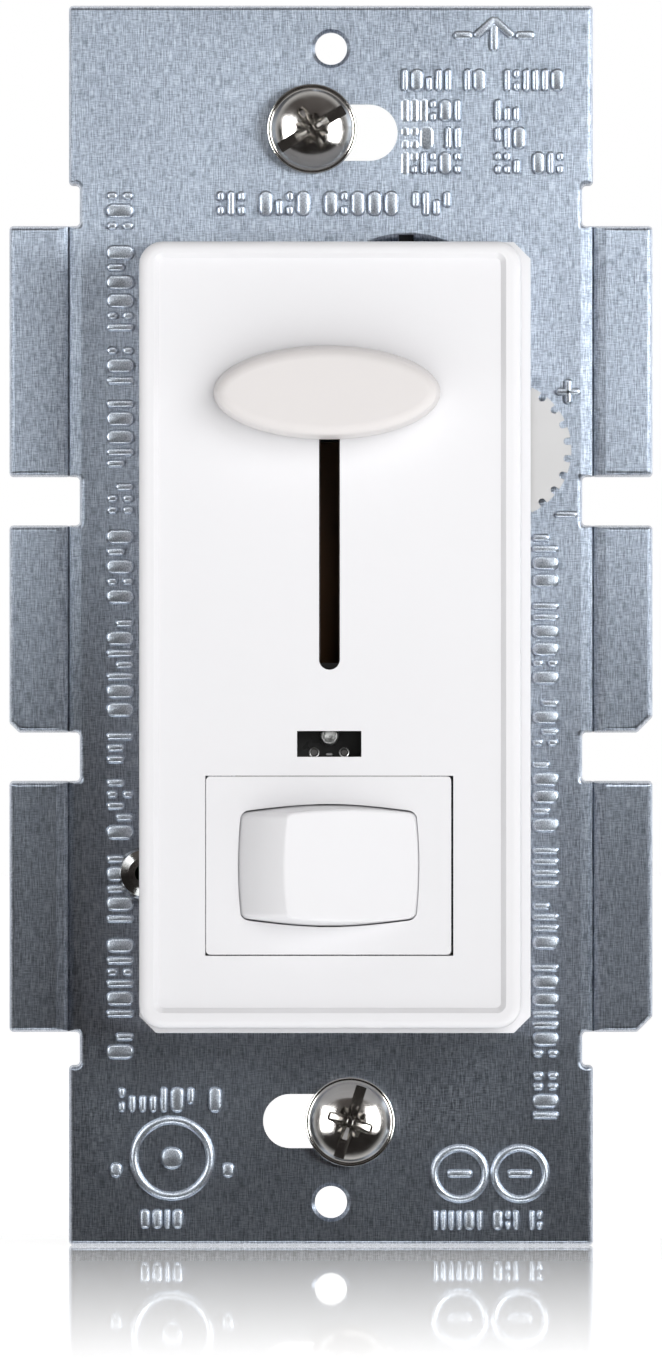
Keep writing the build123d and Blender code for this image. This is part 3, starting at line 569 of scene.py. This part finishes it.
# ---------------------------------------------------------------- small details
def indicator_details():
    """The indicator's clear dome over its lead frame, solder rings round its pins and a bare pad."""
    front = mm_box("indicator_board")[0].y
    pins_low, pins_high = mm_box("indicator_pins")
    bm = bmesh.new()
    for x in (pins_low.x + 0.25, pins_high.x - 0.25):
        centre = (x, (pins_low.z + pins_high.z) / 2)
        section = [(0.45, 0.0), (0.44, 0.07), (0.40, 0.12), (0.35, 0.11), (0.31, 0.04), (0.30, -0.02)]
        bridge(bm, [ring_points(centre, r, front - up, 28) for r, up in section],
               close_start=False, close_end=False)
    piece("solder_rings", bm, "tinned", ROOT)

    low, high = mm_box("indicator_led")
    x, z = (low.x + high.x) / 2, (low.z + high.z) / 2
    bm = bmesh.new()
    rings = [[(px, front - up, pz) for px, pz in pill_outline(x, pins_low.z + 0.1, 0.5, 0.16, 0, grow)]
             for grow, up in ((0.05, 0.0), (0.0, 0.08))]
    bridge(bm, rings, close_start=False)
    piece("bare_pad", bm, "tinned", ROOT)

    radius, crown = 0.84, low.y
    bm = bmesh.new()
    dome = [(r, y) for r, y in arc((0, crown + radius), radius, 1, 90, 12)]
    rings = [ring_points((x, z), r, y, 40) for r, y in dome + [(radius, front - 0.02)]]
    bridge(bm, rings)
    bmesh.ops.recalc_face_normals(bm, faces=bm.faces)
    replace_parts(piece("led_dome", bm, "clear_resin", ROOT, smooth_angle=60), "indicator_led")
    bm = bmesh.new()
    cup = [(0.66, front - 0.3), (0.62, front - 0.85), (0.52, front - 0.9),
           (0.3, front - 0.55), (0.12, front - 0.5)]
    bridge(bm, [ring_points((x, z), r, y, 32) for r, y in cup])
    for side in (-1, 1):
        place, turn = (x + side * 0.35, z - 0.45), 0.4 * side
        raised = [[(px, front - up, pz) for px, pz in pill_outline(*place, 0.16, 0.3, turn, grow)]
                  for grow, up in ((0.0, 0.3), (-0.02, 1.0))]
        bridge(bm, raised)
    bmesh.ops.recalc_face_normals(bm, faces=bm.faces)
    piece("led_lead_frame", bm, "tinned", ROOT, smooth_angle=40)


strap_marks()
box_screw("box_screw_top", "top_screw", turn=31)
box_screw("box_screw_bottom", "bottom_screw", turn=72)
indicator_details()


# ---------------------------------------------------------------- floor, light and camera
FLOOR_SIZE = 3000
# Metres of Y over which the floor's gloss comes in towards the strap, and goes out behind it.
GLOSS_IN, GLOSS_OUT = (-0.40, 0.0), (0.02, 0.06)
GLOSS_IOR = 1.3


def floor():
    """A pale floor with a low-angle gloss just in front of the strap, plain further off."""
    bm = bmesh.new()
    bmesh.ops.create_grid(bm, x_segments=1, y_segments=1, size=FLOOR_SIZE)
    mesh = bpy.data.meshes.new("floor")
    bm.to_mesh(mesh)
    bm.free()
    mesh.transform(Matrix.Translation((0, 0, FLOOR_Z * MM)) @ Matrix.Scale(MM, 4))
    made = bpy.data.objects.new("floor", mesh)
    scene.collection.objects.link(made)
    s = Shader("floor")
    s.set(Roughness=0.9, Emission_Strength=0.5, Specular_IOR_Level=0.0)
    s.use(s.ramp(s.noise((900, 900, 900)), [(0.3, (0.90, 0.90, 0.90)), (0.7, (0.92, 0.92, 0.92))]))
    s.bsdf.inputs["Emission Color"].default_value = (1, 1, 1, 1)
    gloss = s.node("ShaderNodeBsdfGlossy")
    gloss.inputs["Roughness"].default_value = 0.02
    gloss.inputs["Color"].default_value = (1, 1, 1, 1)
    split = s.node("ShaderNodeSeparateXYZ")
    s.link(s.place, split.inputs["Vector"])
    near = s.math("MULTIPLY", s.spread(split.outputs["Y"], 0.0, 1.0, *GLOSS_IN),
                  s.spread(split.outputs["Y"], 1.0, 0.0, *GLOSS_OUT))
    grazing = s.node("ShaderNodeFresnel")
    grazing.inputs["IOR"].default_value = GLOSS_IOR
    share = s.math("MULTIPLY", near, grazing.outputs["Fac"])
    blend = s.node("ShaderNodeMixShader")
    s.link(share, blend.inputs["Fac"])
    s.link(s.bsdf.outputs["BSDF"], blend.inputs[1])
    s.link(gloss.outputs["BSDF"], blend.inputs[2])
    s.link(blend.outputs["Shader"], s.tree.nodes["Material Output"].inputs["Surface"])
    mesh.materials.append(s.mat)
    made.visible_glossy = False                     # metal shows the dim room instead


# Brightness of the room in front of the part, from straight down (0) to straight up (1).
ROOM = [(0.0, 0.03), (0.47, 0.02), (0.56, 0.07), (1.0, 0.14)]


def world():
    """A dim warm room in front of the part, which turns white past its sides and behind it."""
    made = bpy.data.worlds.new("studio")
    scene.world = made
    made.use_nodes = True
    tree = made.node_tree
    place = tree.nodes.new("ShaderNodeTexCoord")
    split = tree.nodes.new("ShaderNodeSeparateXYZ")
    tree.links.new(place.outputs["Generated"], split.inputs["Vector"])
    level = tree.nodes.new("ShaderNodeMapRange")
    level.inputs["From Min"].default_value = -1.0
    tree.links.new(split.outputs["Z"], level.inputs["Value"])
    height = tree.nodes.new("ShaderNodeValToRGB")
    elements = height.color_ramp.elements
    while len(elements) < len(ROOM):
        elements.new(0.5)
    for element, (position, value) in zip(elements, ROOM):
        element.position = position
        element.color = (value * 1.08, value * 0.98, value * 0.93, 1)
    tree.links.new(level.outputs["Result"], height.inputs["Fac"])
    facing = tree.nodes.new("ShaderNodeMapRange")
    facing.inputs["From Min"].default_value, facing.inputs["From Max"].default_value = -0.15, 0.1
    tree.links.new(split.outputs["Y"], facing.inputs["Value"])
    blend = tree.nodes.new("ShaderNodeMix")
    blend.data_type = "RGBA"
    first, second = [s for s in blend.inputs if s.type == "RGBA"]
    tree.links.new(facing.outputs["Result"], blend.inputs["Factor"])
    tree.links.new(height.outputs["Color"], first)
    second.default_value = (1, 1, 1, 1)
    mixed = [s for s in blend.outputs if s.type == "RGBA"][0]
    tree.links.new(mixed, tree.nodes["Background"].inputs["Color"])


def softbox(name, place, target, size, power, colour=(1, 1, 1), diffuse=True, glossy=True, lit=()):
    """A rectangular soft light, aimed at target. With lit, it lights only those objects."""
    data = bpy.data.lights.new(name, "AREA")
    data.shape, data.size, data.size_y, data.energy = "RECTANGLE", size[0] * MM, size[1] * MM, power
    made = bpy.data.objects.new(name, data)
    scene.collection.objects.link(made)
    made.location = Vector(place) * MM
    made.rotation_euler = (Vector(place) - Vector(target)).to_track_quat("Z", "Y").to_euler()
    made.visible_diffuse, made.visible_glossy, made.visible_camera = diffuse, glossy, False
    data.color = colour
    if lit:
        group = bpy.data.collections.new(name + " lights")
        for part in lit:
            group.objects.link(part)
        made.light_linking.receiver_collection = group


CAMERA_DISTANCE = 1600.0
CAMERA_HEIGHT = -4.5
VIEW_HEIGHT = 113.95                                # seen at the strap's front face


def camera():
    data = bpy.data.cameras.new("camera")
    made = bpy.data.objects.new("camera", data)
    scene.collection.objects.link(made)
    made.location = Vector((0, -CAMERA_DISTANCE, CAMERA_HEIGHT)) * MM
    made.rotation_euler = (math.radians(90), 0, 0)
    data.lens = data.sensor_width * (CAMERA_DISTANCE + STRAP_FRONT) / VIEW_HEIGHT
    data.clip_start, data.clip_end = 0.01, 20
    scene.camera = made


floor()
world()
BRIGHT = [MATERIALS[slot] for slot in ("nickel", "steel", "zinc_steel", "tinned", "clear_resin")]
MARKS = [bpy.data.objects["strap_marks"]]
STRAP_METAL = [nodes["mounting_strap"], nodes["ground_rivet"]] + MARKS
SMALL_METAL = [part for part in scene.objects if part.type == "MESH" and part not in STRAP_METAL
               and part.data.materials[0] in BRIGHT]
IN_WINDOW = [bpy.data.objects[name] for name in ("solder_rings", "bare_pad", "led_dome", "led_lead_frame")]
COOL = (0.90, 0.96, 1.0)
softbox("wash", (330, -700, 250), (0, 0, 0), (700, 500), 4.1, glossy=False)
softbox("bounce", (-300, -500, -330), (0, 0, 0), (500, 300), 4.4, glossy=False)
softbox("far sheen", (400, -330, 205), (0, 0, 30), (330, 180), 1.05, COOL, diffuse=False, lit=STRAP_METAL)
softbox("mid sheen", (230, -190, 60), (0, 0, 0), (120, 200), 0.165, COOL, diffuse=False, lit=STRAP_METAL)
softbox("low glint", (0, -220, -330), (0, 0, 0), (300, 120), 0.5, COOL, diffuse=False, lit=STRAP_METAL)
softbox("high glint", (0, -330, 330), (0, 0, 0), (300, 120), 0.4, COOL, diffuse=False, lit=MARKS)
for side, fin_power in ((-1, 0.024), (1, 0.037)):
    softbox("fin sheen" + str(side), (side * 85, -60, 30), (side * 25, 0, 15), (30, 60), fin_power,
            COOL, diffuse=False, lit=STRAP_METAL)
    softbox("strip" + str(side), (side * 500, -330, 20), (0, 0, 0), (300, 520), 9.0,
            diffuse=False, lit=SMALL_METAL)
    softbox("mark strip" + str(side), (side * 300, -330, 60), (0, 0, 0), (200, 200), 0.55,
            COOL, diffuse=False, lit=MARKS)
    softbox("window glint" + str(side), (side * 110, -330, 60), (0, 0, -9), (36, 36), 0.12,
            diffuse=False, lit=IN_WINDOW)
camera()
scene.view_settings.view_transform = "Standard"
